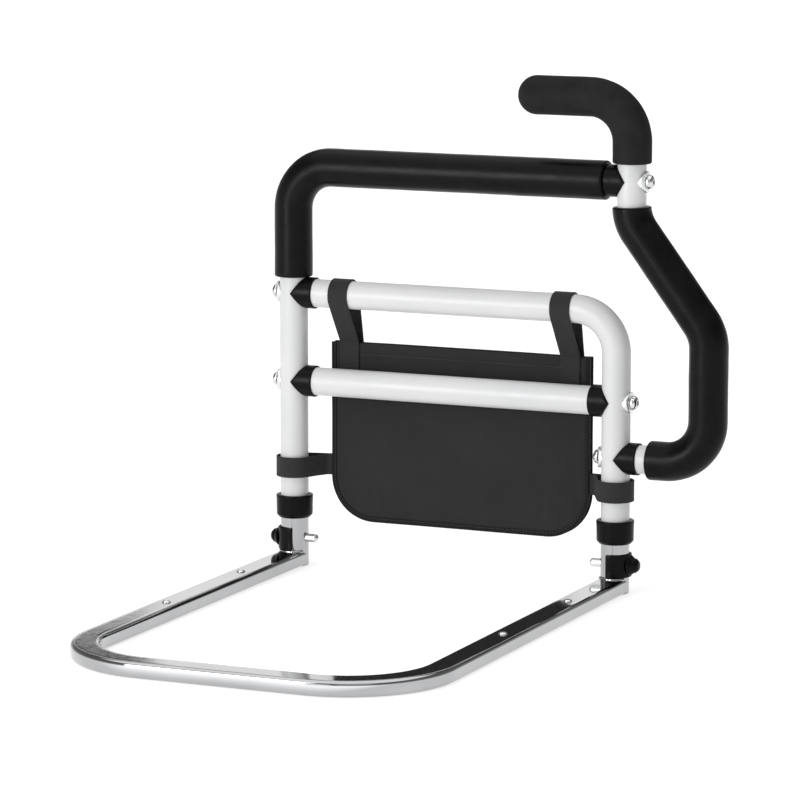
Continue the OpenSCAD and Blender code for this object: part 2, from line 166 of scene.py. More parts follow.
class Shade(Nodes):
    """A material under construction."""

    def __init__(self, name, **sockets):
        self.material = bpy.data.materials.new(name)
        self.material.use_nodes = True
        self.tree = self.material.node_tree
        self.tree.nodes.clear()
        self.out = self.tree.nodes.new("ShaderNodeOutputMaterial")
        self.shader = self.tree.nodes.new("ShaderNodeBsdfPrincipled")
        self.tree.links.new(self.shader.outputs[0], self.out.inputs[0])
        self.place = self.tree.nodes.new("ShaderNodeTexCoord")
        for socket, value in sockets.items():
            self.shader.inputs[socket.replace("_", " ")].default_value = value
        self.height = None

    def spot(self, scale=(1, 1, 1), uv=False):
        """Coordinates in metres on the piece, or along and across its band, stretched by scale."""
        source = self.place.outputs["UV" if uv else "Object"]
        return self.node("Mapping", Vector=source, Scale=scale).outputs[0]

    def noise(self, scale, detail=2.0, rough=0.5, at=None):
        sockets = {"Scale": scale, "Detail": detail, "Roughness": rough}
        return self.node("TexNoise", Vector=at or self.spot(), **sockets).outputs["Fac"]

    def cells(self, scale):
        return self.node("TexVoronoi", Vector=self.spot(), Scale=scale).outputs["Distance"]

    def mix(self, factor, a, b):
        made = self.node("Mix", {"data_type": "RGBA"})
        self.feed(made, 0, factor)
        for socket, value in ((6, a), (7, b)):
            self.feed(made, socket, (*value, 1) if isinstance(value, tuple) else value)
        return made.outputs[2]

    def bump(self, value, distance, strength=1.0):
        """Adds relief of the given depth in metres to the surface."""
        made = self.node("Bump", Height=value, Distance=distance, Strength=strength)
        if self.height:
            self.tree.links.new(self.height, made.inputs["Normal"])
        self.height = made.outputs[0]
        self.tree.links.new(self.height, self.shader.inputs["Normal"])

    def set(self, **sockets):
        for socket, value in sockets.items():
            self.feed(self.shader, socket.replace("_", " "), value)
        return self


def powder_coat():
    s = Shade("white_powder_coat", Specular_IOR_Level=0.45, Coat_Weight=0.12, Coat_Roughness=0.3)
    peel = s.noise(620, 2.5, 0.55)
    drift = s.noise(14, 3)
    scuffs = s.ramp(s.noise(1, 4, 0.6, s.spot((260, 260, 34))), (0.66, 0.0), (0.74, 1.0))
    base = s.mix(s.range(drift, 0.0, 1.0, 0.35, 0.65), (0.585, 0.59, 0.595), (0.62, 0.62, 0.615))
    s.set(Base_Color=s.mix(s.times(scuffs, 0.10), base, (0.52, 0.52, 0.53)))
    dullness = s.plus(s.noise(55, 3), s.times(scuffs, 0.25))
    s.set(Roughness=s.range(dullness, 0.34, 0.47, 0.3, 0.8))
    s.bump(peel, 0.00005, 0.6)
    s.bump(s.noise(2600, 1), 0.000012, 0.5)
    return s.material


def foam(name, low, high, dark, light, gloss):
    """Closed-cell foam with a skin: its roughness is low to high and its grey is dark to light."""
    s = Shade(name, Specular_IOR_Level=gloss)
    skin = s.noise(1900, 3, 0.6)
    pores = s.cells(1500)
    mottle = s.noise(70, 4, 0.6)
    dust = s.ramp(s.noise(520, 3, 0.65), (0.60, 0.0), (0.72, 1.0))
    patches = s.range(mottle, 0.0, 1.0, 0.3, 0.7)
    base = s.mix(patches, (dark, dark, dark * 1.06), (light, light, light * 1.04))
    s.set(Base_Color=s.mix(s.times(dust, 0.08), base, (0.04, 0.04, 0.04)))
    s.set(Roughness=s.range(s.plus(mottle, s.times(skin, 0.5)), low, high, 0.5, 1.0))
    s.bump(s.noise(90, 2), 0.00010, 0.3)
    s.bump(pores, 0.00006, 0.4)
    s.bump(skin, 0.00004, 0.5)
    return s.material


def plastic():
    s = Shade("black_plastic", Specular_IOR_Level=0.09)
    grain = s.cells(2400)
    rub = s.ramp(s.noise(1, 4, 0.6, s.spot((300, 300, 120))), (0.62, 0.0), (0.72, 1.0))
    s.set(Base_Color=s.mix(s.times(rub, 0.35), (0.0030, 0.0030, 0.0032), (0.012, 0.012, 0.0125)))
    dullness = s.plus(s.noise(160, 3), s.times(rub, 0.3))
    s.set(Roughness=s.range(dullness, 0.26, 0.42, 0.35, 0.95))
    s.bump(grain, 0.00003, 0.4)
    s.bump(s.noise(240, 2), 0.00005, 0.3)
    return s.material


def metal(name, tint, low, high, streaks, dent, specks):
    """Bright metal: roughness low to high in streaks, dents as deep as dent, and a few dull specks."""
    s = Shade(name, Metallic=1.0)
    streak = s.noise(1, 4, 0.6, s.spot(streaks))
    cloud = s.noise(22, 3)
    speck = s.ramp(s.noise(800, 2, 0.6), (0.72, 0.0), (0.78, 1.0))
    darker = tuple(c * 0.86 for c in tint)
    s.set(Base_Color=s.mix(s.times(s.range(cloud, 0.0, 1.0, 0.35, 0.7), 0.6), tint, darker))
    wear = s.plus(s.times(streak, 0.6), s.times(cloud, 0.4))
    rough = s.range(wear, low, high, 0.35, 0.65)
    s.set(Roughness=s.plus(rough, s.times(speck, specks)))
    s.bump(s.noise(48, 2), dent, 0.6)
    s.bump(streak, dent / 6, 0.5)
    return s.material


def weave(s, across, along, pitch, at):
    """Plain weave height: yarns cross over and under each other, both pitch metres apart."""
    turn = math.pi / pitch
    split = s.node("SeparateXYZ", Vector=at)
    a = s.times(split.outputs[across], turn)
    b = s.times(split.outputs[along], turn)
    wave_a, wave_b = s.math("SINE", a), s.math("SINE", b)
    round_a, round_b = s.math("ABSOLUTE", wave_a), s.math("ABSOLUTE", wave_b)
    over = s.math("GREATER_THAN", s.times(s.math("COSINE", a), s.math("COSINE", b)), 0.0)
    under = s.math("SUBTRACT", 1.0, over)
    top = s.times(s.times(round_a, s.range(round_b, 0.55, 1.0)), over)
    cross = s.times(s.times(round_b, s.range(round_a, 0.55, 1.0)), under)
    return s.plus(top, cross)


def cloth():
    s = Shade("pocket_fabric", Specular_IOR_Level=0.12, Sheen_Weight=0.06, Sheen_Roughness=0.4)
    yarns = weave(s, 0, 2, 0.00075, s.place.outputs["Object"])
    slub = s.noise(1, 3, 0.6, s.spot((90, 90, 900)))
    slub_b = s.noise(1, 3, 0.6, s.spot((900, 90, 90)))
    drift = s.noise(16, 4, 0.6)
    dark, light = (0.0140, 0.0140, 0.0148), (0.0275, 0.0275, 0.0288)
    base = s.mix(s.range(yarns, 0.15, 0.85), dark, light)
    base = s.mix(s.times(s.plus(slub, slub_b), 0.28), base, (0.035, 0.035, 0.0365))
    s.set(Base_Color=s.mix(s.range(drift, 0.0, 0.35, 0.35, 0.7), base, (0.0155, 0.0155, 0.0163)))
    s.set(Roughness=s.range(s.plus(yarns, s.times(drift, 0.4)), 0.86, 0.66, 0.2, 1.2))
    s.bump(s.noise(130, 3), 0.00025, 0.35)
    s.bump(yarns, 0.00022, 0.8)
    return s.material


def webbing():
    s = Shade("strap_webbing", Specular_IOR_Level=0.18, Sheen_Weight=0.06, Sheen_Roughness=0.4)
    yarns = weave(s, 0, 1, 0.0013, s.place.outputs["UV"])
    fibre = s.noise(1, 3, 0.6, s.spot((600, 2600, 1), uv=True))
    drift = s.noise(40, 3)
    base = s.mix(s.range(yarns, 0.1, 0.9), (0.0125, 0.0125, 0.013), (0.031, 0.031, 0.0325))
    s.set(Base_Color=s.mix(s.range(fibre, 0.0, 0.35, 0.4, 0.75), base, (0.042, 0.042, 0.044)))
    s.set(Roughness=s.range(s.plus(yarns, s.times(drift, 0.4)), 0.80, 0.55, 0.2, 1.2))
    s.bump(yarns, 0.00035, 0.9)
    s.bump(fibre, 0.00006, 0.5)
    return s.material


def tape():
    s = Shade("binding_tape", Specular_IOR_Level=0.15, Sheen_Weight=0.06, Sheen_Roughness=0.4)
    split = s.node("SeparateXYZ", Vector=s.place.outputs["UV"])
    ribs = s.math("ABSOLUTE", s.math("SINE", s.times(split.outputs[0], math.pi / 0.0009)))
    fuzz = s.noise(2200, 3, 0.6)
    raised = s.times(ribs, s.range(fuzz, 0.5, 1.0))
    s.set(Base_Color=s.mix(raised, (0.0045, 0.0045, 0.005), (0.0125, 0.0125, 0.0135)))
    s.set(Roughness=s.range(s.plus(ribs, s.noise(60, 2)), 0.82, 0.6, 0.3, 1.6))
    s.bump(ribs, 0.0002, 0.8)
    s.bump(fuzz, 0.00008, 0.5)
    return s.material


def thread():
    s = Shade("sewing_thread", Specular_IOR_Level=0.45, Sheen_Weight=0.2)
    settings, sockets = {"bands_direction": "DIAGONAL"}, {"Scale": 1800.0, "Distortion": 1.5}
    ply = s.node("TexWave", settings, Vector=s.spot(), **sockets)
    s.set(Base_Color=s.mix(ply.outputs["Fac"], (0.014, 0.014, 0.0148), (0.036, 0.036, 0.0375)))
    s.set(Roughness=s.range(s.noise(900, 2), 0.45, 0.7))
    s.bump(ply.outputs["Fac"], 0.00008, 0.6)
    return s.material


FINE, DEEP, SHALLOW = (500, 500, 500), 0.00004, 0.00003
MATERIALS = {
    "white_powder_coat": powder_coat(),
    "black_foam": foam("black_foam", 0.26, 0.38, 0.0022, 0.0046, 0.10),
    "black_plastic": plastic(),
    "chrome_plate": metal("chrome_plate", (0.445, 0.448, 0.455), 0.05, 0.10, (220, 220, 220), DEEP, 0.10),
    "zinc_steel": metal("zinc_steel", (0.62, 0.63, 0.65), 0.22, 0.42, (400, 400, 60), DEEP, 0.2),
    "bolt_chrome": metal("bolt_chrome", (0.70, 0.705, 0.715), 0.14, 0.24, FINE, SHALLOW, 0.12),
    "bright_washer": metal("bright_washer", (0.80, 0.805, 0.81), 0.26, 0.40, (500, 500, 90), SHALLOW, 0.1),
    "pocket_fabric": cloth(),
    "binding_tape": tape(),
    "strap_webbing": webbing(),
}
THREAD = thread()
# Lighter copy of the black foam for the cane grip. Its lighter grey is painted light, standing in for the
# overhead light on the top grip. Its matte finish, with low roughness and little gloss, is its own.
PAINTED_LIGHT_MATTE_FOAM = foam("matte_foam", 0.55, 0.70, 0.012, 0.019, 0.06)

# ---- Lines that tubes and bands follow ----


class Track:
    """A line in one plane: each move is (length, 0) or (bend radius, turn in degrees)."""

    def __init__(self, start, heading, moves, u=X, w=Z):
        self.origin, self.u, self.w, self.n = Vector(start), u, w, u.cross(w)
        self.parts = []
        s, a, b, angle = 0.0, 0.0, 0.0, math.radians(heading)
        for size, turn in moves:
            bend = math.copysign(1 / size, turn) if turn else 0.0
            length = size * math.radians(abs(turn)) if turn else size
            self.parts.append((s, length, a, b, angle, bend))
            a, b, angle = self.step(a, b, angle, bend, length)
            s += length
        self.length = s

    @staticmethod
    def step(a, b, angle, bend, d):
        if not bend:
            return a + d * math.cos(angle), b + d * math.sin(angle), angle
        far = angle + bend * d
        a += (math.sin(far) - math.sin(angle)) / bend
        b -= (math.cos(far) - math.cos(angle)) / bend
        return a, b, far

    def at(self, s):
        """Point and direction at distance s along the line, which runs on straight past both ends."""
        part = [p for p in self.parts if p[0] <= s] or self.parts[:1]
        start, length, a, b, angle, bend = part[-1]
        inside = min(max(s - start, 0.0), length)
        a, b, angle = self.step(a, b, angle, bend, inside)
        a, b, angle = self.step(a, b, angle, 0.0, s - start - inside)
        direction = self.u * math.cos(angle) + self.w * math.sin(angle)
        return self.origin + self.u * a + self.w * b, direction

    def bend_at(self, s):
        return next((p[5] for p in self.parts if p[0] <= s <= p[0] + p[1]), 0.0)

    def stops(self, s0, s1, pace=6.0, turn=2.5):
        """Distances from s0 to s1, both included, close enough together for a smooth line."""
        low, high = min(s0, s1), max(s0, s1)
        cuts = sorted({low, high} | {p[0] for p in self.parts if low < p[0] < high})
        found = [low]
        for a, b in zip(cuts, cuts[1:]):
            bend = self.bend_at((a + b) / 2)
            step = min(pace, math.radians(turn) / abs(bend)) if bend else pace
            count = max(1, math.ceil((b - a) / step))
            found += [a + (b - a) * (k + 1) / count for k in range(count)]
        return found if s1 >= s0 else found[::-1]


def straight(start, direction):
    """A straight line for turned pieces."""
    direction = Vector(direction)
    side = Y if abs(direction.y) < 0.5 else X
    return Track(start, 0, [(1.0, 0)], direction, side)


def soften(points, steps=5):
    """A line through (a, b, radius) points, rounded by that radius where one is given."""
    found = []
    for i, point in enumerate(points):
        here = Vector(point[:2])
        radius = point[2] if len(point) > 2 else 0
        if not radius or i in (0, len(points) - 1):
            found.append(here)
            continue
        back = (Vector(points[i - 1][:2]) - here).normalized()
        ahead = (Vector(points[i + 1][:2]) - here).normalized()
        half = back.angle(ahead) / 2
        reach = radius / math.tan(half)
        centre = here + (back + ahead).normalized() * radius / math.sin(half)
        p, q = here + back * reach - centre, here + ahead * reach - centre
        swing = p.angle_signed(q)
        for k in range(steps + 1):
            found.append(centre + Matrix.Rotation(-swing * k / steps, 2) @ p)
    return [(p.x, p.y) for p in found]


def circle(r, count):
    """Points (a, b) round a circle, counted once."""
    return [(r * math.cos(TAU * k / count), r * math.sin(TAU * k / count)) for k in range(count)]


# ---- Meshes ----


def link(name, verts, faces, uvs=None):
    """An object in the row frame from millimetre points, its faces turned outwards."""
    mesh = bpy.data.meshes.new(name)
    mesh.from_pydata([ORIGIN + Vector(v) * MM for v in verts], [], faces)
    if uvs:
        layer = mesh.uv_layers.new(name="band")
        for loop, uv in zip(layer.data, uvs):
            loop.uv = (uv[0] * MM, uv[1] * MM)
    work = bmesh.new()
    work.from_mesh(mesh)
    bmesh.ops.recalc_face_normals(work, faces=work.faces)
    work.to_mesh(mesh)
    work.free()
    made = bpy.data.objects.new(name, mesh)
    bpy.context.scene.collection.objects.link(made)
    return made


def to_object(name, verts, faces, slot, body, replaced=(), uvs=None, sharp=38.0):
    """A piece with smooth faces that rides on a body; edges sharper than sharp degrees are kept."""
    made = link(name, verts, faces, uvs)
    mesh = made.data
    mesh.shade_smooth()
    mesh.set_sharp_from_angle(angle=math.radians(sharp))
    mesh.materials.append(MATERIALS.get(slot, THREAD))
    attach(made, body)
    if replaced:
        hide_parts(*replaced)
    return made


def skin(rings, closed=False):
    """Faces over rings of points; a ring of one point closes an end, and closed joins last to first."""
    verts, starts = [], []
    for ring in rings:
        starts.append(len(verts))
        verts += ring
    faces = []
    pairs = list(zip(range(len(rings)), range(1, len(rings))))
    if closed:
        pairs.append((len(rings) - 1, 0))
    for i, j in pairs:
        a, b, m, n = starts[i], starts[j], len(rings[i]), len(rings[j])
        if m == n == 1:
            continue
        for k in range(max(m, n)):
            near, far = k, (k + 1) % max(m, n)
            if m == 1:
                faces.append((a, b + near, b + far))
            elif n == 1:
                faces.append((a + near, b, a + far))
            else:
                faces.append((a + near, b + near, b + far, a + far))
    return verts, faces


def join(*parts):
    """Several (verts, faces) as one."""
    verts, faces = [], []
    for v, f in parts:
        faces += [tuple(i + len(verts) for i in face) for face in f]
        verts += v
    return verts, faces


def turned(track, profile, sides=64, closed=False, pace=6.0, wobble=None):
    """Round piece along a track: profile is (distance along, radius) points."""
    points = list(profile) + ([profile[0]] if closed else [])
    fine = [points[0]]
    for (s0, r0), (s1, r1) in zip(points, points[1:]):
        for s in track.stops(s0, s1, pace)[1:]:
            share = (s - s0) / (s1 - s0) if s1 != s0 else 1
            fine.append((s, r0 + (r1 - r0) * share))
        if s0 == s1:
            fine.append((s1, r1))
    if closed:
        fine.pop()
    rings = []
    for s, r in fine:
        point, direction = track.at(s)
        side = track.n.cross(direction)
        if r < 1e-6:
            rings.append([point])
            continue
        ring = []
        for a, b in circle(1, sides):
            out = side * a + track.n * b
            place = point + out * r
            ring.append(place + out * wobble(place) if wobble else place)
        rings.append(ring)
    return skin(rings, closed)


def box_section(width, depth, radius, steps=6, cuts=4):
    """Rounded rectangle, width along the side and depth along the normal, counted round once."""
    found = []
    w, d = width / 2 - radius, depth / 2 - radius
    for i, (sx, sy) in enumerate(((1, 1), (-1, 1), (-1, -1), (1, -1))):
        for k in range(steps + 1):
            a = (i + k / steps) * math.pi / 2
            found.append((sx * w + radius * math.cos(a), sy * d + radius * math.sin(a)))
        nx, ny = ((-1, 1), (-1, -1), (1, -1), (1, 1))[i]
        a = (i + 1) * math.pi / 2
        here = Vector((sx * w + radius * math.cos(a), sy * d + radius * math.sin(a)))
        there = Vector((nx * w + radius * math.cos(a), ny * d + radius * math.sin(a)))
        found += [tuple(here.lerp(there, k / cuts)) for k in range(1, cuts)]
    return found


def carve(piece, *cutters):
    """Takes the cutters, closed (verts, faces), out of the piece."""
    tool = link("cutter", *join(*cutters))
    cut = piece.modifiers.new("cut", "BOOLEAN")
    cut.operation, cut.object, cut.solver = "DIFFERENCE", tool, "EXACT"
    bpy.context.view_layer.update()
    ready = bpy.data.meshes.new_from_object(piece.evaluated_get(bpy.context.evaluated_depsgraph_get()))
    piece.modifiers.clear()
    piece.data = ready
    bpy.data.objects.remove(tool)
    ready.shade_smooth()
    ready.set_sharp_from_angle(angle=math.radians(38))
    piece.modifiers.new("flat_faces", "WEIGHTED_NORMAL").keep_sharp = True


# ---- Base ----

base_low, base_high = span("base_tube")
BASE_H = base_high.z
BASE_W = 2 * TUBE_R
BASE_WALL, BASE_EDGE, BASE_BEND = 1.6, 3.6, 82.0
BASE_CROWN = 0.028
rail_holes = next(m for m in frame["record"]["mounts"] if m["name"] == "rail_holes")
HOLE_R = rail_holes["dims"]["hole_r_mm"]
hole_y = (rail_holes["pos_m"][1] - ORIGIN.y) / MM
HOLE_YS = [hole_y + side * rail_holes["dims"]["spacing_y_mm"] / 2 for side in (1, -1)]
rail_length = -base_low.y - BASE_W / 2 - BASE_BEND
base_track = Track((-LEG_X, 0, BASE_H / 2), -90, [
    (rail_length, 0), (BASE_BEND, 90), (2 * (LEG_X - BASE_BEND), 0), (BASE_BEND, 90), (rail_length, 0),
], X, Y)


def base_shell():
    """The flat tube, hollow, its sides slightly crowned and its ends hollowed to fit the sockets."""
    rings = []
    for inset, run in ((0.0, (0, base_track.length)), (BASE_WALL, (base_track.length, 0))):
        section = [
            (a * (1 - BASE_CROWN * (b / BASE_H * 2) ** 2), b)
            for a, b in box_section(BASE_W - 2 * inset, BASE_H - 2 * inset, BASE_EDGE - inset, 8, 6)
        ]
        stops = base_track.stops(*run, pace=14.0, turn=2.0)
        for i, s in enumerate(stops):
            point, direction = base_track.at(s)
            side = Z.cross(direction)
            ring = []
            for a, b in section:
                notch = math.sqrt(max(TUBE_R ** 2 - a * a, 0.0)) if i in (0, len(stops) - 1) else 0
                inward = direction if s < base_track.length / 2 else -direction
                ring.append(point + side * a + Z * b + inward * notch)
            if 0 < i < len(stops) - 1 and min(s, base_track.length - s) < TUBE_R + 1:
                continue
            rings.append(ring)
    return skin(rings, closed=True)


base = to_object("base_tube_shell", *base_shell(), "chrome_plate", "base", ["base_tube"])
hole = soften([(-2, 0), (-2, HOLE_R), (BASE_H + 2, HOLE_R), (BASE_H + 2, 0)])
carve(base, *[
    turned(straight((s * LEG_X, y, 0), Z), hole, 40, pace=50) for s in (-1, 1) for y in HOLE_YS
])


def weld(side):
    """Plated weld between a rail and its socket, on the rail's top in front of the leg."""
    reach, r = 62, TUBE_R + 0.5
    taper, bead = 1.2, 1.3
    first = math.radians(-90 - reach)
    start = (side * LEG_X + r * math.cos(first), r * math.sin(first), BASE_H + 0.1)
    arc = Track(start, -reach, [(r, 2 * reach)], X, Y)
    full = arc.length
    profile = [(0, 0)] + [(taper * k / 6, bead * math.sin(math.pi / 2 * k / 6)) for k in range(1, 7)]
    profile += [(full - s, r) for s, r in reversed(profile)]
    ripple = lambda p: 0.09 * math.sin(math.atan2(p.y, p.x - side * LEG_X) * 46)
    return turned(arc, profile, 16, pace=0.5, wobble=ripple)


def rail_screw(side, y):
    """Domed screw head in a rail hole, on a short shank."""
    deep, shank_r, head_r, high = 3.5, 2.9, 3.8, 2.0
    profile = soften([
        (-deep, 0), (-deep, shank_r, 0.4), (0, shank_r),
        (0, head_r, 0.25), (0.4, head_r, 0.3), (high - 0.4, 2.3, 2.0), (high, 0),
    ], 6)
    return turned(straight((side * LEG_X, y, BASE_H), Z), profile, 40, pace=3)


for name, side in SIDES.items():
    to_object(name + "_socket_weld", *weld(side), "chrome_plate", "base")
    for place, y in zip(("rear", "front"), HOLE_YS):
        to_object(name + "_" + place + "_rail_screw", *rail_screw(side, y), "bolt_chrome", "base")

# ---- Locks ----

PIN_Z = height("left_lock_pin")
PIN_R = 3.9
PIN_OUT = span("right_lock_pin")[1].x - LEG_X
PIN_IN = LEG_X - span("right_lock_pin")[0].x
KNOB_REACH = span("right_lock_clip")[1].x - LEG_X
KNOB_R, CLIP_WRAP = 6.5, 105
CLIP_IN, CLIP_OUT = TUBE_R + 0.5, span("right_lock_clip")[1].y
CLIP_H = span("right_lock_clip")[1].z - span("right_lock_clip")[0].z


def lock(side):
    """The C clip with its domed knob, which points away from the pocket."""
    mid = (CLIP_IN + CLIP_OUT) / 2
    first = (0 if side > 0 else 180) - CLIP_WRAP
    turn = math.radians(first)
    start = (side * LEG_X + mid * math.cos(turn), mid * math.sin(turn), PIN_Z)
    arc = Track(start, first + 90, [(mid, 2 * CLIP_WRAP)], X, Y)
    thick = CLIP_OUT - CLIP_IN
    rings = []
    for s in arc.stops(0, arc.length, 1.0, 3.0):
        point, direction = arc.at(s)
        near_end = min(s, arc.length - s, 0.7) / 0.7
        shrink = 0.55 * (1 - math.sqrt(max(1 - (1 - near_end) ** 2, 0)))
        edge = max(0.65 - shrink * 0.9, 0.1)
        section = box_section(thick - 2 * shrink, CLIP_H - 2 * shrink, edge, 4, 4)
        across = Z.cross(direction)
        rings.append([point + across * a + Z * b for a, b in section])
    inner = [sum(rings[i], Vector()) / len(rings[i]) for i in (0, -1)]
    shell = skin([[inner[0]]] + rings + [[inner[1]]])
    axis = straight((side * LEG_X, 0, PIN_Z), (side, 0, 0))
    root = CLIP_IN + 0.6
    dome = soften([
        (root, 0), (root, KNOB_R + 2.9), (CLIP_OUT + 0.2, KNOB_R + 2.6, 0.8),
        (CLIP_OUT + 3.0, KNOB_R + 0.3, 3.0), (KNOB_REACH - 3.4, KNOB_R - 0.2, 2.0),
        (KNOB_REACH - 0.7, KNOB_R - 2.6, 2.4), (KNOB_REACH - 0.3, 0),
    ], 6)
    return join(shell, turned(axis, dome, 56, pace=3))


for name, side in SIDES.items():
    body = name + "_lock"
    to_object(name + "_lock_grip", *lock(side), "black_plastic", body, [name + "_lock_clip"])
    axis = straight((side * (LEG_X + PIN_OUT), 0, PIN_Z), (-side, 0, 0))
    far = PIN_OUT + PIN_IN
    nose = [(far - 2.2, PIN_R, 2.0), (far, PIN_R - 2.4, 2.2), (far, 0)]
    pin = turned(axis, soften([(0, 0), (0, PIN_R, 0.5)] + nose, 8), 48)
    to_object(name + "_spring_pin", *pin, "bright_washer", body, [name + "_lock_pin"])

# ---- White tubes ----


def tube(name, track):
    """White tube along the whole track, with softened outer edges."""
    inner, end, edge = TUBE_R - TUBE_WALL, track.length, 0.4
    profile = soften([(0, inner), (0, TUBE_R, edge), (end, TUBE_R, edge), (end, inner)], 3)
    shape = turned(track, profile, 72, closed=True)
    to_object(name + "_coated", *shape, "white_powder_coat", "upper_frame", [name])


left_track = Track((-LEG_X, 0, LEG_LOW_Z), 90, [
    (TOP_Z - BEND_R - LEG_LOW_Z, 0), (BEND_R, -90), (CANE_X - WEB + LEG_X - BEND_R, 0),
])
right_track = Track((-LEG_X + WEB, 0, UPPER_Z), 0, [
    (2 * LEG_X - WEB - BEND_R, 0), (BEND_R, -90), (UPPER_Z - BEND_R - LEG_LOW_Z, 0),
])
lower_track = Track((-LEG_X + WEB, 0, LOWER_Z), 0, [(2 * (LEG_X - WEB), 0)])
cane_start = CANE_END_X + GRIP_R
slant_trim = BEND_R * math.tan(math.radians(SLANT / 2))
slant_full = (OUTER_X - CANE_X) / math.sin(math.radians(SLANT))
slant_drop = (OUTER_X - CANE_X) / math.tan(math.radians(SLANT))
outer_drop = SLANT_TOP_Z - slant_drop - slant_trim - SIDE_Z - BEND_R
cane_track = Track((cane_start, 0, CANE_Z), 0, [
    (CANE_X - BEND_R - cane_start, 0), (BEND_R, -90),
    (CANE_Z - BEND_R - SLANT_TOP_Z - slant_trim, 0), (BEND_R, SLANT),
    (slant_full - 2 * slant_trim, 0), (BEND_R, -SLANT),
    (outer_drop, 0), (BEND_R, -90),
    (OUTER_X - BEND_R - LEG_X - WEB, 0),
])
for name, track in (
    ("left_upright_tube", left_track), ("right_upright_tube", right_track),
    ("lower_crossbar", lower_track), ("cane_handle_tube", cane_track),
):
    tube(name, track)

# ---- Foam grips ----

FOAM_IN, LIP = TUBE_R + 0.05, 1.6


def unevenness(seed):
    """Slight waviness of soft foam, in millimetres."""
    shift = Vector((seed, seed * 2, seed * 3))
    return lambda p: 0.22 * noise.noise(p / 26 + shift) + 0.07 * noise.noise(p / 7 + shift)


def grip(name, track, profile, seed):
    shape = turned(track, profile, 96, closed=True, pace=3.0, wobble=unevenness(seed))
    made = to_object(name + "_foam", *shape, "black_foam", "upper_frame", [name])
    return made


def sleeve(s0, s1):
    return soften([(s0, FOAM_IN), (s0, GRIP_R, LIP), (s1, GRIP_R, LIP), (s1, FOAM_IN)], 6)


def along_vertical(track, part, z):
    """Distance along the track where its straight part number reaches height z."""
    start, rise = track.parts[part][0], track.parts[part][3]
    return start + abs(z - (track.origin.z + rise))


grip("top_rail_grip", left_track, sleeve(
    along_vertical(left_track, 0, span("top_rail_grip")[0].z),
    left_track.length - (SADDLE_END - WEB),
), 1)
end = along_vertical(cane_track, 2, span("cane_grip")[0].z)
quarter = [math.pi / 2 * k / 14 for k in range(1, 15)]
dome = [(-GRIP_R * math.cos(a), GRIP_R * math.sin(a)) for a in quarter]
hollow, pole = -2.0, 0.02
cane_foam = grip("cane_grip", cane_track, [(hollow, pole), (-GRIP_R, pole)] + dome + soften(
    [(0, GRIP_R), (end, GRIP_R, LIP), (end, FOAM_IN), (hollow, FOAM_IN)], 6,
), 2)
# The cane grip wears the lighter foam copy: painted light from overhead, on a matte finish.
cane_foam.data.materials[0] = PAINTED_LIGHT_MATTE_FOAM
grip("side_grip", cane_track, sleeve(
    along_vertical(cane_track, 2, span("side_grip")[1].z),
    cane_track.length - (SADDLE_END + GRIP_GAP - WEB),
), 3)

# ---- Collars ----


def collar():
    """Profile of a collar: a chamfered foot, a ring at the top, and a floor under the upright's end."""
    low, high = span("left_collar")
    r, h = high.x + LEG_X, high.z - low.z
    bore, plate, seat = 11.3, 1.5, TUBE_R + 0.05
    return soften([
        (0, bore), (0, r - 2.6, 0.5), (2.6, r - 0.35, 1.2), (h * 0.62, r - 0.25, 2.0),
        (h - 3.4, r - 0.1, 0.5), (h - 2.9, r, 0.3), (h, r, 0.8), (h, TUBE_R + 0.9, 0.4),
        (h - 0.9, seat), (plate, seat), (plate, bore),
    ], 5)


for name, side in SIDES.items():
    axis = straight((side * LEG_X, 0, span(name + "_collar")[0].z), Z)
    shape = turned(axis, collar(), 96, closed=True)
    to_object(name + "_collar_ring", *shape, "black_plastic", "upper_frame", [name + "_collar"])

# ---- Saddles, washers and bolts ----

TIP = 2.5
EAR = TUBE_R + 0.8
BOLT_SEAT = TUBE_R + 2.6


def saddle(place, side):
    """Fish-mouth saddle round an upright, with a sleeve for the tube that leaves it."""
    count, rim = 112, 0.45

    def wall(y, z):
        return Vector((math.sqrt(max(TUBE_R ** 2 - y * y, 0)), y, z))

    def mouth(y, z):
        return Vector((max(wall(y, z).x, TIP + (EAR - TIP) * abs(z) / SADDLE_R), y, z))

    outer = [mouth(y, z) for y, z in circle(SADDLE_R, count)]
    inner = []
    for p in outer:
        flat = Vector((p.x, p.y, 0)).length
        pull = (TUBE_R + 0.02) / flat if flat > TUBE_R else 1.0
        inner.append(Vector((p.x * pull, p.y * pull, p.z * 0.985)))
    rings = [[Vector((TUBE_R, 0, 0))]]
    for share in (0.25, 0.5, 0.75, 0.9):
        rings.append([wall(p.y * share, p.z * share) for p in inner])
    rings.append(inner)
    rings.append([i.lerp(o, 0.55) for i, o in zip(inner, outer)])
    rings.append([o.lerp(i, 0.12) + X * 0.03 for i, o in zip(inner, outer)])
    rings.append([o + X * rim for o in outer])
    straight_from = SADDLE_END - 1.2
    for share in (0.12, 0.3, 0.5, 0.75, 1.0):
        rings.append([Vector((p.x + rim + (straight_from - p.x - rim) * share, p.y, p.z)) for p in outer])
    sleeve_end = soften([
        (straight_from, SADDLE_R), (SADDLE_END, SADDLE_R, 0.9), (SADDLE_END, TUBE_R + 0.5, 0.3),
        (SADDLE_END - 0.8, TUBE_R + 0.03), (WEB, TUBE_R + 0.03),
    ], 4)
    for x, r in sleeve_end[1:]:
        rings.append([Vector((x, y, z)) for y, z in circle(r, count)])
    rings.append([Vector((WEB, 0, 0))])
    return put(skin(rings), place, side)


def put(shape, place, side):
    """A joint piece at its upright, its tube leaving along +X for side 1 and along -X for side -1."""
    verts, faces = shape
    return [Vector(place) + Vector((v.x * side, v.y * side, v.z)) for v in verts], faces


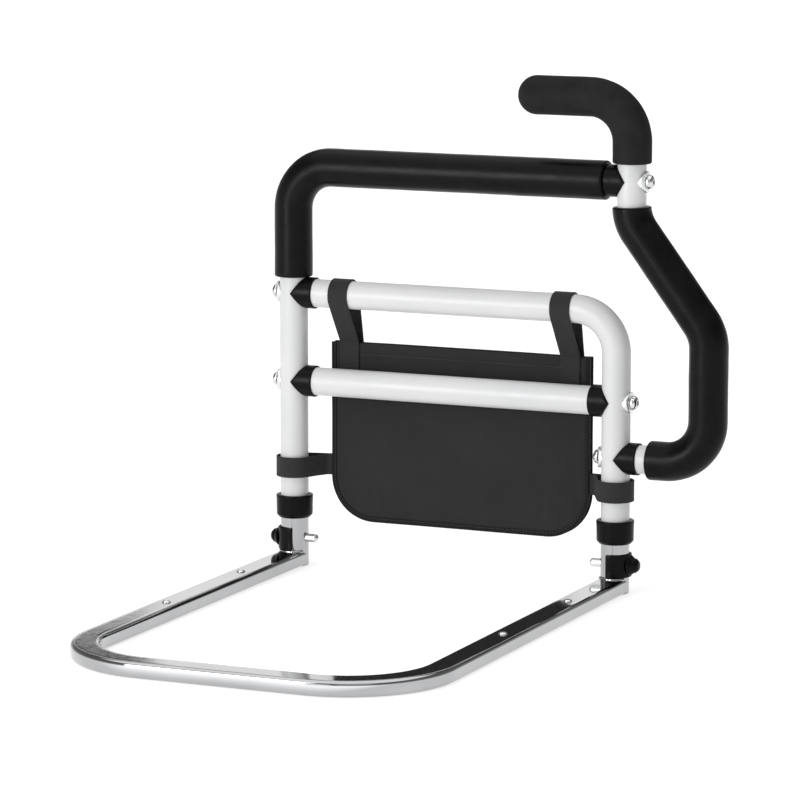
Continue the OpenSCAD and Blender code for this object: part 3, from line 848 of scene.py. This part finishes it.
def washer(place, side):
    """Round washer curved to the upright, flat where the bolt head sits."""
    radius, back = 9.5, TUBE_R + 3.1

    def ring(r, lift):
        found = []
        for y, z in circle(r, 64):
            inside = math.sqrt(TUBE_R ** 2 - y * y)
            outside = min(BOLT_SEAT, math.sqrt(back ** 2 - y * y))
            found.append(Vector((-(inside + (outside - inside) * lift), y, z)))
        return found

    rings = [ring(r, 0.0) for r in (3.2, 6.0, 9.3)]
    rings += [ring(radius, 0.12), ring(radius, 0.8), ring(radius - 0.25, 0.97)]
    rings += [ring(r, 1.0) for r in (8.9, 7.5, 6.0, 4.5, 3.2)]
    return put(skin(rings, closed=True), place, side)


def bolt(place, side):
    """Button-head bolt with a six-sided recess."""
    top, count = BOLT_SEAT + 5.0, 72
    shank_end, shank_r, head_r = WEB + 18, 3.0, 6.5
    head = soften([
        (BOLT_SEAT, shank_r), (BOLT_SEAT, head_r, 0.3), (BOLT_SEAT + 1.3, head_r, 0.5),
        (BOLT_SEAT + 3.6, 5.6, 2.6), (top, 3.3, 1.5), (top, 2.45, 0.2),
    ], 6)
    shank = soften([(-shank_end, 0), (-shank_end, shank_r, 0.4), (BOLT_SEAT, shank_r)], 3)
    rings = [[Vector((shank_end, 0, 0))]]
    for s, r in shank[1:] + head[1:]:
        rings.append([Vector((-s, y, z)) for y, z in circle(r, count)])
    for depth, r in ((top - 0.25, 2.2), (top - 2.2, 2.15)):
        ring = []
        for k in range(count):
            a = TAU * k / count
            hexagon = r / math.cos((a % (math.pi / 3)) - math.pi / 6)
            ring.append(Vector((-depth, hexagon * math.cos(a), hexagon * math.sin(a))))
        rings.append(ring)
    rings.append([Vector((-(top - 2.5), 0, 0))])
    return put(skin(rings), place, side)


JOINTS = {
    "upper_left": ((-LEG_X, 0, UPPER_Z), 1),
    "lower_left": ((-LEG_X, 0, LOWER_Z), 1),
    "lower_right": ((LEG_X, 0, LOWER_Z), -1),
    "side_handle": ((LEG_X, 0, SIDE_Z), 1),
    "top_rail": ((CANE_X, 0, TOP_Z), -1),
}
for name, (place, side) in JOINTS.items():
    for piece, make, slot, sharp, node in (
        ("_saddle_cup", saddle, "black_plastic", 45, "_saddle"),
        ("_curved_washer", washer, "bright_washer", 38, "_washer"),
        ("_button_bolt", bolt, "bolt_chrome", 30, "_bolt"),
    ):
        to_object(name + piece, *make(place, side), slot, "upper_frame", [name + node], sharp=sharp)

# ---- Pocket ----

panel_low, panel_high = span("pocket_front_panel")
POCKET_W, POCKET_R = panel_high.x - panel_low.x, 40.0
POCKET_LOW, POCKET_TOP = panel_low.z, panel_high.z
PANEL_T = panel_high.y - panel_low.y
FRONT_Y, BACK_Y = panel_low.y, span("pocket_back_panel")[1].y
HEM = 12.0
strap_low, strap_high = span("right_hanging_strap")
HANG_X = (strap_low.x + strap_high.x) / 2
STRAP_W = strap_high.x - strap_low.x
STRAP_T = 1.6
BINDING_W = 4.0


def half_width(z):
    """Half the width of the pocket at height z."""
    rise = z - POCKET_LOW
    if rise >= POCKET_R:
        return POCKET_W / 2
    return POCKET_W / 2 - POCKET_R + math.sqrt(max(POCKET_R ** 2 - (POCKET_R - rise) ** 2, 0))


def ease(value, low, high):
    t = min(max((value - low) / (high - low), 0.0), 1.0)
    return t * t * (3 - 2 * t)


def slack(x, z, seed):
    """How far the cloth stands out from flat: a soft belly, ripples by the corners and strap ends."""
    half = half_width(max(z, POCKET_LOW + 1))
    rim = ease(half - abs(x), 2, 34) * ease(z - POCKET_LOW, 2, 34)
    free = 1 - ease(z, 138, 158)
    belly = 1.2 * rim * free
    broad = noise.noise(Vector((x / 48, seed, z / 60)))
    fine = noise.noise(Vector((x / 19, seed + 5, z / 30)))
    folds = 0.7 * broad + 0.35 * fine
    corner = Vector((abs(x) - (POCKET_W / 2 - POCKET_R), z - (POCKET_LOW + POCKET_R)))
    ripple = 0.0
    if corner.x > -10 and corner.y < 10:
        turn = math.atan2(corner.y, corner.x)
        depth = POCKET_R - corner.length
        wave = math.sin(turn * 7 + seed + (1.3 if x > 0 else 0))
        ripple = 0.55 * wave * ease(depth, 3, 12) * (1 - ease(depth, 16, 40))
    pull = 0.0
    for sx in (-1, 1):
        reach = abs(x - sx * HANG_X) / 26
        pull += 0.5 * math.exp(-reach * reach) * ease(z, 80, 150) * free
    lip = 0.9 * ease(z, 186, POCKET_TOP) * (1 - ease(abs(x), 60, 96))
    return belly + (folds + ripple) * (0.35 + 0.65 * free) * ease(half - abs(x), 1, 12) - pull + lip


def cloth_y(x, z, front):
    """Outer face of the front or back panel."""
    if front:
        return FRONT_Y - max(slack(x, z, 3.0), -1.5)
    return BACK_Y + min(max(slack(x, z, 11.0), -1.5), 1.4)


def panel(name, front):
    """Woven panel with a turned-down hem along its top edge."""
    columns, inside = 150, 1 if front else -1
    bend_z = POCKET_LOW + POCKET_R
    zs = [POCKET_LOW + POCKET_R * (1 - math.cos(math.pi / 2 * k / 26)) for k in range(27)]
    zs += [bend_z + (POCKET_TOP - HEM - POCKET_LOW - POCKET_R) * k / 48 for k in range(1, 49)]
    zs += [POCKET_TOP - HEM + d for d in (0.25, 0.7, 1.5, 3.5, 6, 8.5, 10.5, 11.5, 12)]
    verts, faces = [], []
    for layer in (0, 1):
        for z in zs:
            half = half_width(z)
            for i in range(columns + 1):
                x = half * (2 * i / columns - 1)
                y = cloth_y(x, z, front)
                hem = 0.22 * ease(z, POCKET_TOP - HEM, POCKET_TOP - HEM + 0.7)
                roll = 0.5 * ease(z, POCKET_TOP - 1.2, POCKET_TOP)
                depth = PANEL_T + hem - roll if layer else 0.1 - hem * 0.2 + roll
                verts.append(Vector((x, y + inside * depth, z)))
    row, size = columns + 1, (columns + 1) * len(zs)
    for layer in (0, 1):
        for j in range(len(zs) - 1):
            for i in range(columns):
                a = layer * size + j * row + i
                faces.append((a, a + 1, a + row + 1, a + row))
    rim = [j * row for j in range(len(zs))] + [(len(zs) - 1) * row + i for i in range(1, row)]
    rim += [j * row + columns for j in range(len(zs) - 2, -1, -1)] + list(range(columns - 1, 0, -1))
    for p, q in zip(rim, rim[1:] + rim[:1]):
        faces.append((p, q, q + size, p + size))
    return to_object(name + "_cloth", verts, faces, "pocket_fabric", "upper_frame", [name], sharp=60)


edge_run = POCKET_TOP - POCKET_LOW - POCKET_R
edge_track = Track((-POCKET_W / 2, 0, POCKET_TOP), -90, [
    (edge_run, 0), (POCKET_R, 90), (POCKET_W - 2 * POCKET_R, 0), (POCKET_R, 90), (edge_run, 0),
])


def band(rings, along, around, ends):
    """A capped skin with UVs along and around the band; ends are the UVs of a cap from its along."""
    verts, faces = skin(rings)
    m, uvs = len(rings[0]), []
    for i in range(len(rings) - 1):
        for k in range(m):
            near, far = around[k], around[k + 1]
            uvs += [(along[i], near), (along[i + 1], near), (along[i + 1], far), (along[i], far)]
    for i in (0, len(rings) - 1):
        faces.append(tuple(range(i * m, (i + 1) * m)))
        uvs += [(along[i] + a, b) for a, b in ends]
    return verts, faces, uvs


def binding(name, front):
    """Tape folded over the edge of a panel, from its front face round the edge."""
    out = -1 if front else 1
    proud = 0.75
    section = soften([
        (proud, 0.9), (proud, -proud, 0.7), (-BINDING_W, -proud, 0.35), (-BINDING_W, 0.15),
        (-0.15, 0.3), (-0.15, 0.9),
    ], 4)
    rings, stops = [], edge_track.stops(0, edge_track.length, 2.5, 4.0)
    for s in stops:
        point, direction = edge_track.at(s)
        outward = Y.cross(direction)
        inner = point - outward * 1.5
        y = cloth_y(inner.x, min(inner.z, POCKET_TOP), front)
        ring = []
        for a, b in section:
            pucker = 0.12 * math.sin(s * TAU / 9.5) * (1 if a < -1 else 0)
            where = point + outward * a
            ring.append(Vector((where.x, y + out * (-b) + out * pucker, where.z)))
        rings.append(ring)
    ends = [(0, k) for k in range(len(section))]
    verts, faces, uvs = band(rings, stops, range(len(section) + 1), ends)
    return to_object(name, verts, faces, "binding_tape", "upper_frame", ["pocket_binding"], uvs, sharp=50)


def stitch_line(points, out, pitch=3.2, length=2.3, thick=0.26):
    """Thread stitches along a line of points, lying on the cloth; out is the way they stand proud."""
    shapes, left = [], pitch / 2
    for p, q in zip(points, points[1:]):
        run = (q - p).length
        direction = (q - p).normalized() if run else X
        while left <= run:
            centre = p + direction * left
            rings = []
            across = direction.cross(out).normalized()
            for k in range(7):
                t = k / 6 * 2 - 1
                r = thick * math.sqrt(max(1 - abs(t) ** 3, 0.02))
                dip = out * (-0.30 * t * t * thick * 3)
                core = centre + direction * (t * length / 2) + dip
                rings.append([core + across * a + out * b for a, b in circle(r, 8)])
            tips = [[sum(ring, Vector()) / 8] for ring in (rings[0], rings[-1])]
            shapes.append(skin([tips[0]] + rings + [tips[1]]))
            left += pitch
        left -= run
    return shapes


def on_cloth(x, z, front, lift):
    """Point on the outer face of a panel, lifted off it."""
    y = cloth_y(x, z, front)
    return Vector((x, y - lift if front else y + lift, z))


def panel_stitching(name, front):
    """Stitches along the tape and along the hem of a panel."""
    out = -Y if front else Y
    seam_in, seam_lift = BINDING_W - 1.1, 0.85
    hem_z, hem_lift, hem_half, pace = POCKET_TOP - HEM + 1.9, 0.02, 118, 4
    edge = []
    for s in edge_track.stops(0, edge_track.length, 2.0, 3.0):
        point, direction = edge_track.at(s)
        seam = point + direction.cross(Y) * seam_in
        edge.append(on_cloth(seam.x, seam.z, front, seam_lift))
    hem = [on_cloth(x, hem_z, front, hem_lift) for x in range(-hem_half, hem_half + 1, pace)]
    shapes = stitch_line(edge, out) + stitch_line(hem, out)
    return to_object(name, *join(*shapes), "thread", "upper_frame")


def gusset():
    """Narrow band that joins the two panels down the sides and along the bottom."""
    rings, stops = [], edge_track.stops(0, edge_track.length, 3.0, 4.0)
    width = BACK_Y - FRONT_Y
    bow, thick = 0.35, 0.9
    section = [(bow * math.sin(math.pi * k / 12) - 0.5, k / 12) for k in range(13)]
    section += [(a - thick, t) for a, t in reversed(section)]
    for s in stops:
        point, direction = edge_track.at(s)
        outward = Y.cross(direction)
        ripple = 0.25 * noise.noise(Vector((s / 14, 2.0, 0)))
        rings.append([
            point + outward * (a + ripple - 0.25) + Y * (FRONT_Y + 0.4 + t * (width - 0.8))
            for a, t in section
        ])
    verts, faces = skin(rings)
    m = len(section)
    faces += [tuple(range(m)), tuple(range((len(rings) - 1) * m, len(rings) * m))]
    node = "pocket_gusset"
    return to_object(node + "_band", verts, faces, "pocket_fabric", "upper_frame", [node], sharp=60)


def touch(a, b, radius, side):
    """Turn at which a line from (a, b) touches a circle of that radius round (0, 0)."""
    return math.atan2(b, a) + side * math.acos(radius / math.hypot(a, b))


def arc_points(first, last, radius):
    """Points round a circle from one turn to another."""
    turns = [first + (last - first) * k / 48 for k in range(49)]
    return [(radius * math.cos(a), radius * math.sin(a)) for a in turns]


def hanging_path(x):
    """Loop over the upper crossbar with its ends on the front and back of the pocket."""
    loop_r = TUBE_R + 0.15 + STRAP_T / 2
    front_y, rear_y = FRONT_Y - STRAP_T / 2, BACK_Y + STRAP_T / 2
    drop, low = POCKET_TOP - UPPER_Z, strap_low.z - UPPER_Z
    first = touch(front_y, drop, loop_r, -1)
    last = touch(rear_y, drop, loop_r, 1) - TAU
    points = [(front_y, low), (front_y, drop)]
    points += arc_points(first if first > last else first + TAU, last, loop_r)
    points += [(rear_y, drop), (rear_y, low)]
    return [Vector((x, y, z + UPPER_Z)) for y, z in points]


def resample(points, pace, round_off=3):
    """Points at an even pace along a line, with its corners eased by averaging."""
    dense = []
    for p, q in zip(points, points[1:]):
        count = max(1, math.ceil((q - p).length / pace))
        dense += [p.lerp(q, k / count) for k in range(count)]
    dense.append(points[-1])
    for _ in range(round_off):
        eased = [(a + 2 * b + c) / 4 for a, b, c in zip(dense, dense[1:], dense[2:])]
        dense = [dense[0]] + eased + [dense[-1]]
    return dense


def ribbon(name, line, across, replaced, seed, cup=0.15):
    """Flat webbing along a line: a slightly cupped band with rounded selvedges."""
    section = box_section(STRAP_T, STRAP_W, 0.55, 4, 8)
    rings, along, total = [], [0.0], 0.0
    for i, point in enumerate(line):
        before, after = line[max(i - 1, 0)], line[min(i + 1, len(line) - 1)]
        direction = (after - before).normalized()
        side = across.cross(direction).normalized()
        ring = []
        for a, b in section:
            share = b / (STRAP_W / 2)
            lift = cup * (share * share - 0.3) * noise.noise(Vector((total / 30, seed, 0))) * 2
            edge = 0.10 * noise.noise(Vector((total / 9, seed, share)))
            selvedge = 1.12 if abs(share) > 0.8 else 1.0
            ring.append(point + side * (a * selvedge + lift) + across * (b + edge))
        rings.append(ring)
        if i + 1 < len(line):
            total += (line[i + 1] - point).length
            along.append(total)
    around = [0.0]
    for p, q in zip(section, section[1:] + section[:1]):
        around.append(around[-1] + math.dist(p, q))
    verts, faces, uvs = band(rings, along, around, section)
    return to_object(name, verts, faces, "strap_webbing", "upper_frame", replaced, uvs, sharp=50)


def box_stitch(x, z_low, z_high, y, out, half=6.6):
    """Square of stitches with a cross, as on a sewn strap end."""
    lift = Vector((0, y, 0)) + out * 0.12
    corners = ((-half, z_low), (half, z_low), (half, z_high), (-half, z_high))
    a, b, c, d = [Vector((x + reach, 0, z)) + lift for reach, z in corners]
    shapes = []
    for line in ([a, b], [b, c], [c, d], [d, a], [a, c], [b, d]):
        shapes += stitch_line(line, out, 2.7, 2.0)
    return shapes


front_panel = panel("pocket_front_panel", True)
back_panel = panel("pocket_back_panel", False)
front_tape, back_tape = binding("front_edge_tape", True), binding("back_edge_tape", False)
front_seams = panel_stitching("front_stitching", True)
back_seams = panel_stitching("back_stitching", False)
pocket_band = gusset()

STITCHED = (strap_low.z + 2.5, strap_low.z + 15.5)
strap_shapes = []
for name, side in SIDES.items():
    x = side * HANG_X
    line = resample(hanging_path(x), 1.6)
    ribbon(name + "_hanging_webbing", line, X, [name + "_hanging_strap"], side * 4.0)
    for y, out in ((FRONT_Y - STRAP_T, -Y), (BACK_Y + STRAP_T, Y)):
        strap_shapes += box_stitch(x, *STITCHED, y, out)
to_object("strap_stitching", *join(*strap_shapes), "thread", "upper_frame")

side_low, side_high = span("right_side_strap")
SIDE_STRAP_Z = (side_low.z + side_high.z) / 2
SIDE_LOOP_IN = 15


def side_path(side):
    """Loop round a leg, its two layers led together to the side of the pocket."""
    loop_r = SIDE_LOOP_IN + STRAP_T / 2
    end_x, tail_x = POCKET_W / 2 - LEG_X, POCKET_W / 2 - LEG_X + 6
    tail_y, step = (FRONT_Y + BACK_Y) / 2, (BACK_Y - FRONT_Y - STRAP_T) / 2 - 0.8
    first = touch(tail_x, tail_y + step, loop_r, -1)
    last = touch(tail_x, tail_y - step, loop_r, 1)
    while last > first:
        last -= TAU
    while last < first - TAU:
        last += TAU
    points = [(end_x, tail_y + step), (tail_x, tail_y + step)]
    points += arc_points(first, last, loop_r)
    points += [(tail_x, tail_y - step), (end_x, tail_y - step)]
    return [Vector((side * (LEG_X + a), b, SIDE_STRAP_Z)) for a, b in points]


for name, side in SIDES.items():
    line = resample(side_path(side), 1.4, 4)
    ribbon(name + "_side_webbing", line, Z, [name + "_side_strap"], side * 9.0)

# ---- CAD pieces that stay as they are ----

kept = ["left_socket", "right_socket", "left_inner_leg", "right_inner_leg", "cane_tube_plug"]
kept += [name + "_insert" for name in JOINTS]
slots = [m["slot"] for m in frame["record"]["materials"]]
for name in kept:
    piece = frame["nodes"][name]
    old = piece.data.materials[0].name.split(".")[0]
    piece.material_slots[0].material = MATERIALS[old if old in slots else "zinc_steel"]

# ---- Floor, light and world ----


def floor():
    """Pale floor that glows a little, with a brighter pool in front of the bar for the chrome to show."""
    s = Shade("pale_floor", Roughness=0.9, Specular_IOR_Level=0.1, Emission_Color=(1, 1, 1, 1))
    s.set(Base_Color=s.mix(s.noise(3, 2), (0.49, 0.49, 0.49), (0.51, 0.51, 0.51)))
    split = s.node("SeparateXYZ", Vector=s.place.outputs["Object"])
    front = s.range(split.outputs[1], 1.0, 0.0, -0.300, -0.262)
    ends = s.range(s.math("ABSOLUTE", split.outputs[0]), 1.0, 0.0, 0.16, 0.24)
    far = s.range(split.outputs[1], 0.0, 1.0, -0.75, -0.45)
    pool = s.times(s.times(front, ends), far)
    s.set(Emission_Strength=s.plus(s.times(pool, 0.95), 0.68))
    mesh = bpy.data.meshes.new("studio_floor")
    below = -0.0004
    rings = [[Vector((0, 0, below))]]
    for r in (0.5, 1, 2, 4, 8, 16, 30):
        rings.append([Vector((a, b, below)) for a, b in circle(r, 64)])
    verts, faces = skin(rings)
    mesh.from_pydata(verts, [], faces)
    made = bpy.data.objects.new("studio_floor", mesh)
    bpy.context.scene.collection.objects.link(made)
    mesh.materials.append(s.material)


def softbox(name, place, target, size, power):
    lamp = bpy.data.lights.new(name, "AREA")
    lamp.shape, lamp.size, lamp.size_y, lamp.energy = "RECTANGLE", size[0], size[1], power
    made = bpy.data.objects.new(name, lamp)
    made.location = place
    made.rotation_euler = (Vector(target) - Vector(place)).to_track_quat("-Z", "Y").to_euler()
    made.visible_camera = False
    bpy.context.scene.collection.objects.link(made)


class Sky(Nodes):
    """The world: a grey gradient by height with bright and dark cards, for reflections and light."""

    def __init__(self, *stops):
        world = bpy.data.worlds.new("studio")
        world.use_nodes = True
        bpy.context.scene.world = world
        self.tree = world.node_tree
        self.tree.nodes.clear()
        self.way = self.node("TexCoord").outputs["Generated"]
        self.level = self.ramp(self.node("SeparateXYZ", Vector=self.way).outputs["Z"], *stops)

    def dot(self, axis):
        made = self.node("VectorMath", {"operation": "DOT_PRODUCT"})
        self.feed(made, 0, self.way)
        self.feed(made, 1, axis)
        return made.outputs["Value"]

    def card(self, turn, rise, wide, high, grey, soft):
        """A card at a turn and rise from +Y, of half sizes wide and high, all in degrees."""
        a, e = math.radians(turn), math.radians(rise)
        ahead = Vector((math.sin(a) * math.cos(e), math.cos(a) * math.cos(e), math.sin(e)))
        side = Vector((math.cos(a), -math.sin(a), 0))
        depth = self.math("MAXIMUM", self.dot(ahead), 0.001)
        mask = self.math("GREATER_THAN", self.dot(ahead), 0.0)
        for axis, half in ((side, wide), (side.cross(ahead), high)):
            off = self.math("ABSOLUTE", self.math("DIVIDE", self.dot(axis), depth))
            size = math.tan(math.radians(half))
            edge = self.range(off, 0, 1, size * (1 + soft), size * (1 - soft), "SMOOTHSTEP")
            mask = self.times(mask, edge)
        keep = self.times(self.level, self.math("SUBTRACT", 1.0, mask))
        self.level = self.plus(keep, self.times(mask, grey))

    def finish(self, backdrop):
        """Camera rays see a plain backdrop."""
        glow = self.node("Background", Color=self.level)
        plain = self.node("Background", Color=(backdrop, backdrop, backdrop, 1))
        pick, out = self.node("MixShader"), self.node("OutputWorld")
        self.feed(pick, 0, self.node("LightPath").outputs["Is Camera Ray"])
        self.feed(pick, 1, glow.outputs[0])
        self.feed(pick, 2, plain.outputs[0])
        self.feed(out, 0, pick.outputs[0])


def studio():
    """A bright overhead, dark sides, and cards that the chrome's top and edges reflect."""
    sky = Sky((0.0, 0.6), (0.10, 0.6), (0.25, 0.2), (0.66, 0.15), (0.80, 1.45), (1.0, 1.45))
    sky.card(-24, 20, 9, 13, 1.15, 0.2)
    sky.card(-23.3, 15.4, 1.5, 3.5, 0.02, 0.2)
    sky.card(-29.1, 13.5, 1.5, 1.4, 0.0, 0.1)
    sky.card(-176, 12, 10, 9, 1.5, 0.3)
    sky.card(150, 24, 17, 15, 0.6, 0.3)
    sky.card(-156, 27, 9, 24, 1.9, 0.3)
    sky.finish(1.0)


floor()
studio()
softbox("key", (-0.92, -1.86, 0.56), (0.0, 0.2, 0.2), (0.62, 0.95), 19)
view = bpy.context.scene.view_settings
view.view_transform, view.look = "Standard", "None"
